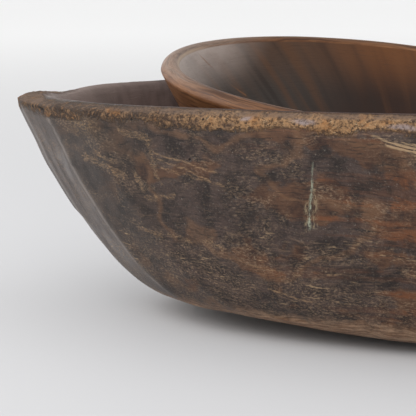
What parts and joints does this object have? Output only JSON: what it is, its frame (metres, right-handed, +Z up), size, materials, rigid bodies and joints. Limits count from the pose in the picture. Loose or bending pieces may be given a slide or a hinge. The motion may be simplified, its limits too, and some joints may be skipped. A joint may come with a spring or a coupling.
{
  "type": "carved wooden bowl",
  "caption": "Long boat-shaped wooden bowl carved from one log, with a round carved bowl resting loose and tilted inside it, for holding and serving dry food.",
  "frame": {"origin": "on the ground, under the middle of the long bowl", "axes": "+X along the long bowl, +Z up, -Y towards the front wall that the round bowl leans on"},
  "size_m": [0.66, 0.36, 0.1901],
  "materials": {
    "weathered_dark_wood": "dark, weathered and scuffed, dull sheen on the edges",
    "worn_brown_wood": "hand-worn smooth brown, soft satin"
  },
  "bodies": {
    "outer_bowl_body": {"outer_bowl": "weathered_dark_wood"},
    "inner_bowl_body": {"inner_bowl": "worn_brown_wood"}
  },
  "joints": [
    {"name": "inner_bowl_lift", "type": "slide", "parent": "outer_bowl_body", "child": "inner_bowl_body", "axis": [0, 0, 1], "range_m": [0, 0.16]}
  ]
}
